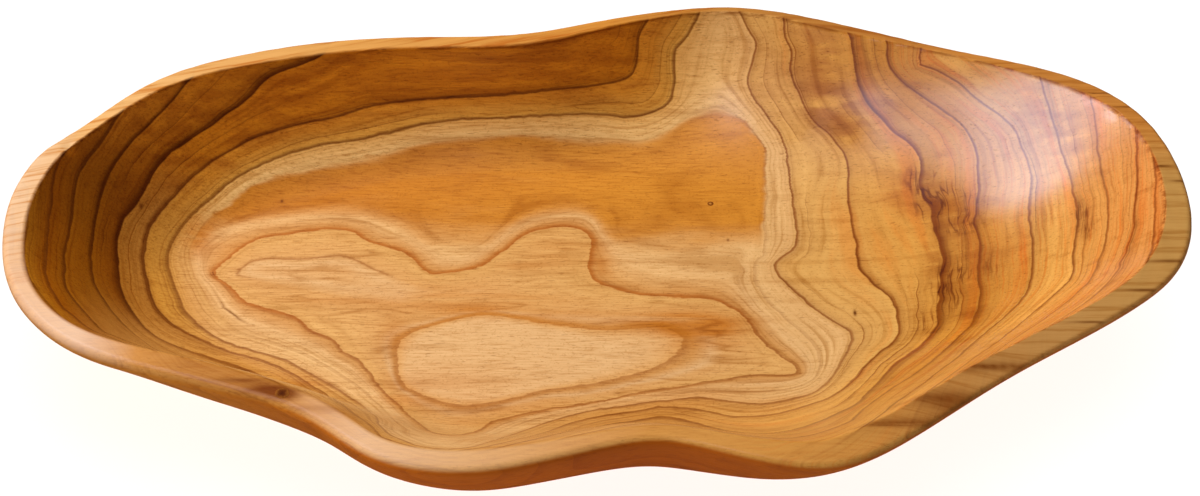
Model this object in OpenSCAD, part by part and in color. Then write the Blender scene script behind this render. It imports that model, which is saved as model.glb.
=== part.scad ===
// Free-form wooden salad bowl, carved out of one slab of root wood.
// A wandering natural edge, a lofted hollow and a flat sanded foot, with two dead knots seated in the wood.
// Millimetres. +X runs along the bowl, +Y to the back and +Z up, from the table under the bowl's middle.

/* [Bowl] */
// Length over the rim, left tip to right tip
bowl_l = 380; // [320:1:480]
// Width over the rim, front to back
bowl_w = 220; // [190:1:300]
// Height of the highest part of the rim
bowl_h = 50; // [42:0.5:75]
// Wood left under the floor of the hollow
floor_t = 12; // [9:0.5:18]

/* [Rim] */
// Usual width of the rim's sawn top
rim_w = 8; // [6:0.25:11]
// Drop from the highest part of the natural edge to the lowest
rim_dip = 4; // [0:0.25:8]
// Radius of the edge inside the rim where it is crisp
inner_edge_r = 1; // [0.5:0.1:1.5]
// Radius of the edge inside the rim where the lip is rolled over
inner_roll_r = 4; // [2:0.1:5]
// Radius of the edge outside the rim where it is crisp
outer_edge_r = 1.6; // [1:0.1:2.5]
// Radius of the edge outside the rim where the lip is rolled over
outer_roll_r = 2.6; // [1.5:0.1:4]

/* [Hollow] */
// Run from the left tip to the floor
left_run = 54; // [45:1:80]
// Run from the right tip to the floor, a long gentle slope
right_run = 108; // [80:1:130]
// Run from the back of the rim to the floor
back_run = 46; // [38:1:60]
// Run from the front of the rim to the floor
front_run = 60; // [50:1:75]

/* [Outside] */
// Lean of the outer wall under the rim where it leans in most, in degrees
wall_lean = 52; // [25:1:55]
// Distance of the foot's edge inside the edge of the floor
foot_inset = 6; // [2:0.5:14]
// Angle between the outer wall and the table at the foot, in degrees
foot_angle = 10; // [6:1:15]

/* [Knots] */
// Diameter of the pin knot in the floor
floor_knot_d = 2.2; // [1.5:0.1:5]
// Depth of the pin knot
floor_knot_depth = 5; // [3:0.5:7]
// Distance of the pin knot inside the floor's edge
floor_knot_in = 4; // [4:0.5:30]
// Direction of the pin knot from the floor's centre, in degrees from the right
floor_knot_turn = 52; // [0:1:359]
// Diameter of the knot in the rim
rim_knot_d = 4.4; // [2:0.1:5]
// Depth of the knot in the rim
rim_knot_depth = 8; // [4:0.5:15]
// Distance of the rim knot's centre from the outer edge
rim_knot_in = 3.6; // [3:0.1:5]

/* [Hidden] */

// The natural edge, anticlockwise from the right tip. The first two numbers draw the outline on a square
// from -1 to 1, which is stretched to the bowl's length and width. The third is the width of the rim's
// top, in rim_w, the fourth is how far the edge dips, in rim_dip, the fifth is how far the outer wall leans
// in below it, in wall_lean, and the sixth goes from 0, a crisp sawn rim, to 1, a lip that is rolled over.
STATIONS = [
    [1.00, 0.10, 0.95, 0.4, 0.95, 0.0], [0.96, 0.45, 0.70, 0.4, 0.75, 0.0],
    [0.84, 0.66, 0.75, 0.3, 0.70, 0.0], [0.62, 0.79, 0.35, 0.2, 0.60, 0.0],
    [0.44, 0.91, 0.60, 0.1, 0.45, 0.0], [0.25, 1.00, 0.35, 0.0, 0.30, 0.0],
    [0.04, 0.95, 0.55, 0.1, 0.25, 0.0], [-0.14, 0.87, 0.85, 0.4, 0.25, 0.0],
    [-0.37, 0.86, 0.80, 0.4, 0.25, 0.0], [-0.58, 0.80, 0.90, 0.3, 0.25, 0.0],
    [-0.78, 0.65, 0.70, 0.1, 0.25, 0.0], [-0.91, 0.38, 0.60, 0.0, 0.35, 0.0],
    [-0.97, 0.26, 0.90, 0.0, 0.40, 0.1], [-1.00, 0.03, 0.90, 0.0, 0.75, 0.2],
    [-0.97, -0.29, 0.75, 0.2, 0.95, 0.7], [-0.85, -0.53, 0.85, 0.4, 1.00, 1.0],
    [-0.64, -0.66, 1.10, 0.6, 0.70, 1.0], [-0.47, -0.77, 0.95, 0.7, 0.25, 1.0],
    [-0.35, -0.95, 0.90, 0.6, 0.40, 1.0], [-0.20, -1.00, 1.05, 0.6, 0.20, 0.9],
    [-0.05, -0.93, 0.85, 0.8, 0.10, 0.9], [0.09, -0.86, 0.70, 1.0, 0.00, 0.9],
    [0.22, -0.93, 0.90, 0.8, 0.35, 0.9], [0.35, -0.98, 1.25, 0.6, 0.65, 0.7],
    [0.47, -0.88, 1.30, 0.6, 0.75, 0.3], [0.64, -0.64, 1.15, 0.6, 0.90, 0.0],
    [0.84, -0.40, 1.00, 0.5, 0.85, 0.0], [0.96, -0.20, 1.20, 0.4, 0.95, 0.0]
];
// Columns of the loft between one station and the next
STEPS = 4;
// The rim knot's place, counted in stations along the edge
RIM_KNOT_STATION = 16.75;
// Rings of the loft on the floor, the inner wall, each rim edge and the outer wall
FLOOR_RINGS = 3;
INNER_RINGS = 9;
EDGE_RINGS = 4;
OUTER_RINGS = 8;
// How far a knot's bore is drawn past the carved surface
BORE_SPARE = 5;
// The middle points of the inner wall's curve from the rim to the floor, in shares of its run and of its
// drop, under a crisp rim and under a rolled lip
CRISP_WALL = [[0.25, 0.5], [0.55, 1]];
ROLLED_WALL = [[0.45, 0.4], [0.65, 1]];
// The share of the outer wall's height that sets how long it keeps its lean
LEAN_SHARE = 0.42;
// The share of the outer wall's run that sets how long it keeps its angle to the table
FOOT_SHARE = 0.42;
// The most of the rim's top that its inner and outer edges may round away
INNER_EDGE_SHARE = 0.45;
OUTER_EDGE_SHARE = 0.5;

// Curves
function wrap(list, i) = list[(i + len(list)) % len(list)];
function mix(a, b, t) = a + (b - a) * t;
function spline(a, b, c, d, t) =
    (2 * b + (c - a) * t + (2 * a - 5 * b + 4 * c - d) * t ^ 2 + (3 * b - a - 3 * c + d) * t ^ 3) / 2;
function bezier(a, b, c, d, t) =
    a * (1 - t) ^ 3 + b * 3 * t * (1 - t) ^ 2 + c * 3 * t ^ 2 * (1 - t) + d * t ^ 3;

// The edge, drawn through its stations and stretched to the bowl's length and width
drawn = [
    for (i = [0 : len(STATIONS) - 1], s = [0 : STEPS - 1])
        spline(wrap(STATIONS, i - 1), STATIONS[i], wrap(STATIONS, i + 1), wrap(STATIONS, i + 2), s / STEPS)
];
columns = len(drawn);
function stretch(value, axis, size) =
    let (low = min([for (p = drawn) p[axis]]), high = max([for (p = drawn) p[axis]]))
    ((value - low) / (high - low) - 0.5) * size;
edge = [for (p = drawn) [stretch(p.x, 0, bowl_l), stretch(p.y, 1, bowl_w)]];
edge_lip = [for (p = drawn) p[2] * rim_w];
edge_top = [for (p = drawn) bowl_h - max(p[3], 0) * rim_dip];
edge_lean = [for (p = drawn) p[4] * wall_lean];
edge_roll = [for (p = drawn) min(max(p[5], 0), 1)];
function outward(i) = let (d = wrap(edge, i + 1) - wrap(edge, i - 1)) [d.y, -d.x] / norm(d);

// The floor and the foot are ovals about one centre
floor_c = [(left_run - right_run) / 2, (front_run - back_run) / 2];
floor_half = [(bowl_l - left_run - right_run) / 2, (bowl_w - front_run - back_run) / 2];
foot_half = floor_half - [foot_inset, foot_inset];
function on_oval(p, half) =
    let (a = atan2((p.y - floor_c.y) / half.y, (p.x - floor_c.x) / half.x))
    floor_c + [half.x * cos(a), half.y * sin(a)];
function raise(p, z) = [p.x, p.y, z];

// One column of the loft, from the floor out over the rim and down to the foot. Each rim edge is an arc that
// starts level with the rim's top and ends in line with its wall.
function inside(brink, to, top, r, roll) =
    let (
        run = norm(to - brink),
        drop = top - floor_t,
        wall = mix(CRISP_WALL, ROLLED_WALL, roll),
        turn = atan2(wall[0][1] * drop, wall[0][0] * run),
        start = [r * (sin(turn) - tan(turn / 2)), r * (1 - cos(turn))]
    )
    concat(
        [
            for (j = [INNER_RINGS : -1 : 1])
                let (q = bezier([start[0] / run, start[1] / drop], wall[0], wall[1], [1, 1], j / INNER_RINGS))
                raise(mix(brink, to, q[0]), top - drop * q[1])
        ],
        [
            for (j = [EDGE_RINGS : -1 : 0])
                let (a = turn * j / EDGE_RINGS)
                raise(mix(brink, to, r * (sin(a) - tan(turn / 2)) / run), top - r * (1 - cos(a)))
        ]
    );
function outside(from, to, top, r, lean) =
    let (
        run = norm(to - from),
        start = [r * (1 - cos(lean)), top - r * (1 + sin(lean))],
        high = start[1] * LEAN_SHARE,
        under = run * FOOT_SHARE
    )
    concat(
        [
            for (j = [0 : EDGE_RINGS])
                let (a = (90 + lean) * j / EDGE_RINGS)
                raise(mix(from, to, r * (1 - sin(a)) / run), top - r * (1 - cos(a)))
        ],
        [
            for (j = [1 : OUTER_RINGS])
                let (
                    q = bezier(start, start + [high * tan(lean), -high],
                        [run - under, under * tan(foot_angle)], [run, 0], j / OUTER_RINGS)
                )
                raise(mix(from, to, q[0] / run), q[1])
        ]
    );
function column(i) =
    let (
        lip = edge_lip[i],
        inner_r = min(mix(inner_edge_r, inner_roll_r, edge_roll[i]), lip * INNER_EDGE_SHARE),
        outer_r = min(mix(outer_edge_r, outer_roll_r, edge_roll[i]), lip * OUTER_EDGE_SHARE),
        brink = edge[i] - outward(i) * lip,
        floor_p = on_oval(brink, floor_half)
    )
    concat(
        [for (j = [1 : FLOOR_RINGS - 1]) raise(mix(floor_c, floor_p, j / FLOOR_RINGS), floor_t)],
        inside(brink, floor_p, edge_top[i], inner_r, edge_roll[i]),
        outside(edge[i], on_oval(edge[i], foot_half), edge_top[i], outer_r, edge_lean[i])
    );

// The carved block, with the knots still in it
module carved_block() {
    loft = [for (i = [0 : columns - 1]) column(i)];
    rings = len(loft[0]);
    middle = columns * rings;
    function at(i, j) = (i % columns) * rings + j;
    points = concat(
        [for (c = loft, p = c) p],
        [raise(floor_c, floor_t), raise(floor_c, 0)]
    );
    faces = concat(
        [for (i = [0 : columns - 1]) [at(i, 0), middle, at(i + 1, 0)]],
        [for (i = [0 : columns - 1], j = [0 : rings - 2]) [at(i, j), at(i + 1, j), at(i + 1, j + 1)]],
        [for (i = [0 : columns - 1], j = [0 : rings - 2]) [at(i, j), at(i + 1, j + 1), at(i, j + 1)]],
        [for (i = [0 : columns - 1]) [at(i, rings - 1), at(i + 1, rings - 1), middle + 1]]
    );
    polyhedron(points, faces);
}

// The knots are straight pegs of darker wood, seated in bores and cut off flush with the carved surface
module floor_knot_peg(spare = 0) {
    half = floor_half - [floor_knot_in, floor_knot_in];
    place = floor_c + [half.x * cos(floor_knot_turn), half.y * sin(floor_knot_turn)];
    translate(raise(place, floor_t - floor_knot_depth))
        cylinder(d = floor_knot_d, h = floor_knot_depth + spare, $fn = 32);
}
module rim_knot_bore() {
    i = round(RIM_KNOT_STATION * STEPS);
    translate(raise(edge[i] - outward(i) * rim_knot_in, edge_top[i] - rim_knot_depth))
        cylinder(d = rim_knot_d, h = rim_knot_depth + BORE_SPARE, $fn = 32);
}

module bowl() {
    color("#c98a3c") difference() {
        carved_block();
        floor_knot_peg(BORE_SPARE);
        rim_knot_bore();
    }
}
module floor_knot() {
    color("#5a2e12") floor_knot_peg();
}
module rim_knot() {
    color("#4a2510") intersection() {
        carved_block();
        rim_knot_bore();
    }
}

bowl();
floor_knot();
rim_knot();
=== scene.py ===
# %% [markdown]
# # A free-form salad bowl in figured wood
#
# The object is a long, shallow bowl, carved out of one slab of root wood. It has no handle, foot ring or
# fitting, so its looks come from two things: the wandering edge with its smooth hollow, and the growth rings
# that the hollow cuts through. The lesson builds the stage, then the carved form, then the rings as numbers
# on the mesh, and last the wood itself.
#
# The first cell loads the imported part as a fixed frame. Everything is in metres in the same frame, and the
# bowl's own sizes are written in millimetres, the way a carver would say them.

# %% Frame
import math

import bpy
import numpy as np
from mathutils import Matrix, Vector, noise
from mathutils.bvhtree import BVHTree


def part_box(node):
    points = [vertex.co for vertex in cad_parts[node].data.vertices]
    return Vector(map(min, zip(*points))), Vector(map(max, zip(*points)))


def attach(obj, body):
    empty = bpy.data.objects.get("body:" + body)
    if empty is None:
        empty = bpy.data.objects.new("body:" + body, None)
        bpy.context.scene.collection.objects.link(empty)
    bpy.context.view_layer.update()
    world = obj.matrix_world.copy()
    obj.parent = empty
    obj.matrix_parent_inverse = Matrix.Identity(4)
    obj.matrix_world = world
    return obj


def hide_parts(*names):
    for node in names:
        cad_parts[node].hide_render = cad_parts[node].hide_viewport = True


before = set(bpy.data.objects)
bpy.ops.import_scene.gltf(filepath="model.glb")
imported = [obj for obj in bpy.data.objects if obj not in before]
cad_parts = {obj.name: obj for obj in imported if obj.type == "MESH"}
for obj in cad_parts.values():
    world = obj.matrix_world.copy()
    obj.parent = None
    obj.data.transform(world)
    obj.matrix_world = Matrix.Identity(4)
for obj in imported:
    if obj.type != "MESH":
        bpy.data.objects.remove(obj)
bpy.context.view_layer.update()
MM = 0.001

# %% [markdown]
# ## Camera
#
# A camera can be placed by hand until the picture looks right, or worked out from the view. Here the rim of
# the bowl gives the view: its outline only fits a level rim when the camera looks down by 42 degrees. A
# portrait lens keeps the near and far walls at nearly the same scale. The picture is 1200 by 496 pixels, and
# the camera's rays through those pixels are used again later, to lay the growth rings onto the wood.

# %% Camera
PICTURE_W, PICTURE_H = 1200, 496
LENS_MM, SENSOR_MM = 85, 36
VIEW_DOWN = math.radians(42)
VIEW_DISTANCE = 892 * MM
VIEW_TARGET = Vector((0, -16, 50)) * MM

view_back = Vector((0, -math.cos(VIEW_DOWN), math.sin(VIEW_DOWN)))
view_up = Vector((0, math.sin(VIEW_DOWN), math.cos(VIEW_DOWN)))
view_right = Vector((1, 0, 0))
view_eye = VIEW_TARGET + view_back * VIEW_DISTANCE

camera = bpy.data.objects.new("camera", bpy.data.cameras.new("camera"))
camera.data.lens = LENS_MM
camera.data.sensor_width = SENSOR_MM
camera.location = view_eye
camera.rotation_mode = "QUATERNION"
camera.rotation_quaternion = (-view_back).to_track_quat("-Z", "Y")
bpy.context.scene.collection.objects.link(camera)
bpy.context.scene.camera = camera


def pixel_ray(x, y):
    """The direction from the camera through a pixel of the picture."""
    focal = PICTURE_W * LENS_MM / SENSOR_MM
    return (view_right * (x - PICTURE_W / 2) - view_up * (y - PICTURE_H / 2) - view_back * focal).normalized()


print("camera at", [round(v, 3) for v in view_eye])

# %% [markdown]
# ## Stage and light
#
# The bowl stands on a plain pale floor. One long soft window, high behind the left end, lights the wood: it
# leaves the left and back walls in their own shade. A second, cooler one shows only in reflections and draws
# the sheen on the long right wall. The room around is dim, so the shaded wood is filled mostly by light from
# other wood, which keeps it deep and warm. Two more lamps light the floor alone, one of them without shadows,
# so that it stays pale right up to the bowl. Area lights give soft edges, which a sun or a spot would not,
# and light linking says which lamp lights what.

# %% Stage and light
FLOOR_HALF = 4.0
FLOOR_COLOUR = (0.88, 0.87, 0.86, 1)
FLOOR_ROUGHNESS = 0.7
ROOM_COLOUR = (1.0, 0.95, 0.9, 1)
ROOM_STRENGTH = 0.1
KEY_WINDOW = {
    "direction": (-0.51, 0.11, 0.85), "distance": 1.3, "size": (1.5, 0.5),
    "power": 26, "colour": (0.97, 0.98, 1.04),
}
SHEEN_WINDOW = {
    "direction": (-0.42, 0.0, 0.91), "distance": 1.2, "size": (1.66, 0.36),
    "power": 12, "colour": (0.72, 0.92, 1.24),
}
FLOOR_LAMP = {"direction": (0.0, 0.1, 1.0), "distance": 2.2, "size": (2.5, 2.5), "colour": (1, 1, 1)}
FLOOR_LAMPS = {"floor_wash": {"power": 78, "shadow": False}, "contact_light": {"power": 14}}


def link(name, data):
    """A new object in the scene."""
    made = bpy.data.objects.new(name, data)
    bpy.context.scene.collection.objects.link(made)
    return made


def principled(name):
    """A new material with nodes, and its shader."""
    material = bpy.data.materials.new(name)
    material.use_nodes = True
    return material, material.node_tree.nodes["Principled BSDF"]


floor_mesh = bpy.data.meshes.new("pale_floor")
corners = [(-1, -1), (1, -1), (1, 1), (-1, 1)]
floor_mesh.from_pydata([(x * FLOOR_HALF, y * FLOOR_HALF, 0) for x, y in corners], [], [(0, 1, 2, 3)])
floor = link("pale_floor", floor_mesh)
floor_material, floor_shader = principled("pale_floor")
floor_shader.inputs["Base Color"].default_value = FLOOR_COLOUR
floor_shader.inputs["Roughness"].default_value = FLOOR_ROUGHNESS
floor_mesh.materials.append(floor_material)
floor.visible_glossy = False

world = bpy.data.worlds.new("dim_room")
world.use_nodes = True
world.node_tree.nodes["Background"].inputs["Color"].default_value = ROOM_COLOUR
world.node_tree.nodes["Background"].inputs["Strength"].default_value = ROOM_STRENGTH
bpy.context.scene.world = world
world.cycles_visibility.glossy = False


def soft_window(name, lit, direction, distance, size, power, colour, shadow=True):
    """A rectangular area light that looks at the bowl, which lights only what is linked to it."""
    light = bpy.data.lights.new(name, "AREA")
    light.shape = "RECTANGLE"
    light.size, light.size_y = size
    light.energy = power
    light.color = colour
    light.use_shadow = shadow
    lamp = link(name, light)
    direction = Vector(direction).normalized()
    lamp.location = direction * distance
    lamp.rotation_euler = (-direction).to_track_quat("-Z", "Y").to_euler()
    lamp.light_linking.receiver_collection = lit
    return lamp


wood_lit, floor_lit = (bpy.data.collections.new(name) for name in ("lit_wood", "lit_floor"))
floor_lit.objects.link(floor)
key = soft_window("key_window", wood_lit, **KEY_WINDOW)
key.visible_glossy = False
sheen = soft_window("sheen_window", wood_lit, **SHEEN_WINDOW)
sheen.visible_diffuse = False
for name, settings in FLOOR_LAMPS.items():
    soft_window(name, floor_lit, **FLOOR_LAMP, **settings)
bpy.context.scene.view_settings.view_transform = "Standard"

# %% [markdown]
# ## The edge
#
# The rim follows the natural edge of the slab, so no circle or oval draws it. A carver would mark a few
# points and bend a batten through them. The stations below do the same: a closed spline runs through them,
# and each one also says how wide the rim's top is there, how far it dips, how much the outer wall leans in
# and whether the lip is sawn crisp or rolled over. The length, width and height come from the frame.

# %% The edge
STATIONS = [
    (1.00, 0.10, 0.95, 0.4, 0.95, 0.0), (0.96, 0.45, 0.70, 0.4, 0.75, 0.0),
    (0.84, 0.66, 0.75, 0.3, 0.70, 0.0), (0.62, 0.79, 0.35, 0.2, 0.60, 0.0),
    (0.44, 0.91, 0.60, 0.1, 0.45, 0.0), (0.25, 1.00, 0.35, 0.0, 0.30, 0.0),
    (0.04, 0.95, 0.55, 0.1, 0.25, 0.0), (-0.14, 0.87, 0.85, 0.4, 0.25, 0.0),
    (-0.37, 0.86, 0.80, 0.4, 0.25, 0.0), (-0.58, 0.80, 0.90, 0.3, 0.25, 0.0),
    (-0.78, 0.65, 0.70, 0.1, 0.25, 0.0), (-0.91, 0.38, 0.60, 0.0, 0.35, 0.0),
    (-0.97, 0.26, 0.90, 0.0, 0.40, 0.1), (-1.00, 0.03, 0.90, 0.0, 0.75, 0.2),
    (-0.97, -0.29, 0.75, 0.2, 0.95, 0.7), (-0.85, -0.53, 0.85, 0.4, 1.00, 1.0),
    (-0.64, -0.66, 1.10, 0.6, 0.70, 1.0), (-0.47, -0.77, 0.95, 0.7, 0.25, 1.0),
    (-0.35, -0.95, 0.90, 0.6, 0.40, 1.0), (-0.20, -1.00, 1.05, 0.6, 0.20, 0.9),
    (-0.05, -0.93, 0.85, 0.8, 0.10, 0.9), (0.09, -0.86, 0.70, 1.0, 0.00, 0.9),
    (0.22, -0.93, 0.90, 0.8, 0.35, 0.9), (0.35, -0.98, 1.25, 0.6, 0.65, 0.7),
    (0.47, -0.88, 1.30, 0.6, 0.75, 0.3), (0.64, -0.64, 1.15, 0.6, 0.90, 0.0),
    (0.84, -0.40, 1.00, 0.5, 0.85, 0.0), (0.96, -0.20, 1.20, 0.4, 0.95, 0.0),
]
COLUMNS_PER_STATION = 18
SOFTEN_COLUMNS, SOFTEN_SPAN = 5, 3
RIM_W, RIM_DIP, WALL_LEAN = 8, 4, math.radians(52)


def spline(points, steps, closed=True):
    """A smooth curve through the points, with some steps from each one to the next."""
    p = np.array(points, float)
    ends = (p[-1:], p[:2]) if closed else (2 * p[:1] - p[1:2], 2 * p[-1:] - p[-2:-1])
    q = np.vstack([ends[0], p, ends[1]])
    a, b, c, d = (q[k:len(q) - 3 + k, None] for k in range(4))
    t = (np.arange(steps) / steps)[None, :, None]
    curve = (2 * b + (c - a) * t + (2 * a - 5 * b + 4 * c - d) * t**2 + (3 * b - a - 3 * c + d) * t**3) / 2
    curve = curve.reshape(-1, p.shape[1])
    return curve if closed else np.vstack([curve, p[-1:]])


def soften(loop, reach):
    """Each point of a closed loop drawn towards its neighbours, so that the curve bends evenly."""
    shifts = np.arange(-SOFTEN_SPAN * reach, SOFTEN_SPAN * reach + 1)
    weights = np.exp(-((shifts / reach) ** 2) / 2)
    return sum(w * np.roll(loop, s, axis=0) for w, s in zip(weights, shifts)) / weights.sum()


bowl_low, bowl_high = (np.array(corner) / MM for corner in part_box("bowl"))
bowl_size = bowl_high - bowl_low
drawn = soften(spline(STATIONS, COLUMNS_PER_STATION), SOFTEN_COLUMNS)
columns = len(drawn)
drawn_low, drawn_high = drawn[:, :2].min(axis=0), drawn[:, :2].max(axis=0)
edge = ((drawn[:, :2] - drawn_low) / (drawn_high - drawn_low) - 0.5) * bowl_size[:2]
lip = drawn[:, 2] * RIM_W
top = bowl_size[2] - np.maximum(drawn[:, 3], 0) * RIM_DIP
lean = drawn[:, 4] * WALL_LEAN
roll = np.clip(drawn[:, 5], 0, 1)
along = np.roll(edge, -1, axis=0) - np.roll(edge, 1, axis=0)
outward = np.stack([along[:, 1], -along[:, 0]], axis=1) / np.linalg.norm(along, axis=1)[:, None]
print("edge of", columns, "columns, lip from", lip.min().round(1), "to", lip.max().round(1), "mm")

# %% [markdown]
# ## The hollow and the outside
#
# Each column of the loft is one cut through the wall: up the inside from the floor, over the rim and down
# the outside to the foot. Curves with two middle points give the walls their sweep, and an arc that starts
# level with the rim and ends in line with the wall rounds each edge. The floor and the foot are ovals, filled
# with a square grid of faces, because a fan of thin triangles would shade badly and hold no figure.

# %% The hollow and the outside
FLOOR_T = 12
LEFT_RUN, RIGHT_RUN, BACK_RUN, FRONT_RUN = 54, 108, 46, 60
FOOT_INSET, FOOT_ANGLE = 6, math.radians(10)
LEAN_SHARE, FOOT_SHARE = 0.42, 0.42
INNER_RADII, INNER_SHARE = (1.0, 4.0), 0.45
OUTER_RADII, OUTER_SHARE = (1.6, 2.6), 0.5
CRISP_WALL = ((0.25, 0.5), (0.55, 1))
ROLLED_WALL = ((0.45, 0.4), (0.65, 1))
INNER_RINGS, EDGE_RINGS, TOP_RINGS, OUTER_RINGS = 60, 9, 11, 36

floor_centre = np.array([LEFT_RUN - RIGHT_RUN, FRONT_RUN - BACK_RUN]) / 2
floor_half = (bowl_size[:2] - [LEFT_RUN + RIGHT_RUN, FRONT_RUN + BACK_RUN]) / 2


def mix(a, b, share):
    """A share of the way from a to b."""
    return a + (b - a) * share


def bezier(a, b, c, d, t):
    """A curve from a to d, with b and c as its middle points."""
    return a * (1 - t) ** 3 + b * 3 * t * (1 - t) ** 2 + c * 3 * t**2 * (1 - t) + d * t**3


def on_oval(points, half):
    """Where the lines from the floor's centre to the points cross an oval."""
    turn = np.arctan2(*((points - floor_centre) / half).T[::-1])
    return floor_centre + half * np.stack([np.cos(turn), np.sin(turn)], axis=1)


def ring(start, end, share, z):
    """One ring of the loft, a share of the way from each start to its end."""
    return np.column_stack([mix(start, end, np.asarray(share)[:, None]), z])


inner_r = np.minimum(mix(*INNER_RADII, roll), lip * INNER_SHARE)
outer_r = np.minimum(mix(*OUTER_RADII, roll), lip * OUTER_SHARE)
brink = edge - outward * lip[:, None]
floor_edge = on_oval(brink, floor_half)
foot_edge = on_oval(edge, floor_half - FOOT_INSET)


def inner_rings():
    """The inside, from the floor's edge up to the rim's top."""
    run = np.linalg.norm(floor_edge - brink, axis=1)
    drop = top - FLOOR_T
    (x1, y1), (x2, y2) = (mix(np.array(a)[:, None], np.array(b)[:, None], roll)
                          for a, b in zip(CRISP_WALL, ROLLED_WALL))
    turn = np.arctan2(y1 * drop, x1 * run)
    back = np.tan(turn / 2)
    rings = []
    for t in np.linspace(1, 0, INNER_RINGS, endpoint=False):
        x = bezier(inner_r * (np.sin(turn) - back) / run, x1, x2, 1, t)
        y = bezier(inner_r * (1 - np.cos(turn)) / drop, y1, y2, 1, t)
        rings.append(ring(brink, floor_edge, x, top - drop * y))
    for t in np.linspace(1, 0, EDGE_RINGS):
        a = turn * t
        x = inner_r * (np.sin(a) - back) / run
        rings.append(ring(brink, floor_edge, x, top - inner_r * (1 - np.cos(a))))
    return rings


def outer_rings():
    """The outside, from the rim's top down to the foot's edge."""
    run = np.linalg.norm(foot_edge - edge, axis=1)
    start_x = outer_r * (1 - np.cos(lean))
    start_z = top - outer_r * (1 + np.sin(lean))
    high, under = start_z * LEAN_SHARE, run * FOOT_SHARE
    rings = []
    for t in np.linspace(0, 1, EDGE_RINGS):
        a = (math.pi / 2 + lean) * t
        x = outer_r * (1 - np.sin(a)) / run
        rings.append(ring(edge, foot_edge, x, top - outer_r * (1 - np.cos(a))))
    for t in np.linspace(0, 1, OUTER_RINGS + 1)[1:]:
        x = bezier(start_x, start_x + high * np.tan(lean), run - under, run, t)
        z = bezier(start_z, start_z - high, under * math.tan(FOOT_ANGLE), 0, t)
        rings.append(ring(edge, foot_edge, x / run, z))
    return rings


inside, outside = inner_rings(), outer_rings()
across = [mix(inside[-1], outside[0], k / (TOP_RINGS + 1)) for k in range(1, TOP_RINGS + 1)]
wall = np.array(inside + across + outside)
print("wall of", len(wall), "rings, each of", columns, "points")

# %% [markdown]
# The floor and the foot close the loft. Each ring of points is taken as the four sides of a square sheet, and
# the points between are blended from those sides, the way a sheet of rubber would settle in a hoop. All the
# faces have four corners, so they shade evenly and the figure can be stored on their points.

# %% Filling the floor and the foot


def oval_grid(first):
    """A square grid of point numbers, with the ring of the loft that starts at a number as its four sides."""
    side = columns // 4
    loop = first + np.roll(np.arange(columns), -side // 2)
    numbers = np.zeros((side + 1, side + 1), int)
    numbers[0, :] = loop[:side + 1]
    numbers[:, side] = loop[side:2 * side + 1]
    numbers[side, ::-1] = loop[2 * side:3 * side + 1]
    numbers[::-1, 0] = np.append(loop[3 * side:], loop[0])
    return numbers


def fill(numbers, points):
    """Places of the grid's inner points, blended from its four sides."""
    sides = points[numbers]
    u = np.linspace(0, 1, numbers.shape[0])[None, :, None]
    v = np.linspace(0, 1, numbers.shape[0])[:, None, None]
    across_v = mix(sides[:1], sides[-1:], v)
    across_u = mix(sides[:, :1], sides[:, -1:], u)
    corners_uv = mix(mix(sides[:1, :1], sides[:1, -1:], u), mix(sides[-1:, :1], sides[-1:, -1:], u), v)
    return (across_v + across_u - corners_uv)[1:-1, 1:-1].reshape(-1, 3)


points = wall.reshape(-1, 3)
grids = []
for first in (0, (len(wall) - 1) * columns):
    grid = oval_grid(first)
    inner = fill(grid, points)
    grid[1:-1, 1:-1] = len(points) + np.arange(len(inner)).reshape(grid.shape[0] - 2, -1)
    points = np.vstack([points, inner])
    grids.append(grid)


def grid_faces(grid, flip=False):
    """Four-sided faces between the neighbours of a grid of point numbers."""
    a, b, c, d = grid[:-1, :-1], grid[:-1, 1:], grid[1:, 1:], grid[1:, :-1]
    faces = np.stack([a, b, c, d], axis=-1).reshape(-1, 4)
    return faces[:, ::-1] if flip else faces


wall_numbers = np.arange(len(wall) * columns).reshape(len(wall), columns)
wall_numbers = np.column_stack([wall_numbers, wall_numbers[:, 0]])
floor_faces, foot_faces = grid_faces(grids[0]), grid_faces(grids[1], flip=True)
faces = np.vstack([grid_faces(wall_numbers, flip=True), floor_faces, foot_faces])

bowl_mesh = bpy.data.meshes.new("carved_bowl")
bowl_mesh.from_pydata((points * MM).tolist(), [], faces.tolist())
bowl_mesh.polygons.foreach_set("use_smooth", np.ones(len(faces), bool))
bowl_mesh.update()
bowl = link("carved_bowl", bowl_mesh)
print("bowl mesh:", len(points), "points,", len(faces), "faces")

# %% [markdown]
# ## Tool marks
#
# A hollow that was cut with a gouge and sanded by hand is never quite even, and the sheen on it shows every
# swell. A bump in the material could fake that, but it would leave the outline too clean, so the points of
# the mesh move: broad swells all over, small nicks along the sawn edges, and a few chips where the saw broke
# the grain. The foot stays flat.

# %% Tool marks
SWELL_MM, SWELL_SIZE_MM = 0.14, 26
NICK_MM, NICK_SIZE_MM = 0.4, 3.5
NICKED_RINGS = (0, (0, 1), 0.3, (0.4, 0), 0)
FLAT_BELOW_MM = 4
CHIPS = {
    "notch_left": ((69, 147), 2.2, 0.9),
    "chip_high": ((1093, 97), 1.5, 0.45),
    "chip_low": ((1116, 114), 1.5, 0.45),
}


def by_ring(inner, inner_edge, rim_top, outer_edge, outer):
    """A value for each ring of the loft: one on each wall and on the rim's top, changing over the edges."""
    return np.concatenate([
        np.full(INNER_RINGS, inner), np.linspace(*inner_edge, EDGE_RINGS), np.full(TOP_RINGS, rim_top),
        np.linspace(*outer_edge, EDGE_RINGS), np.full(OUTER_RINGS, outer)])


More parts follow.
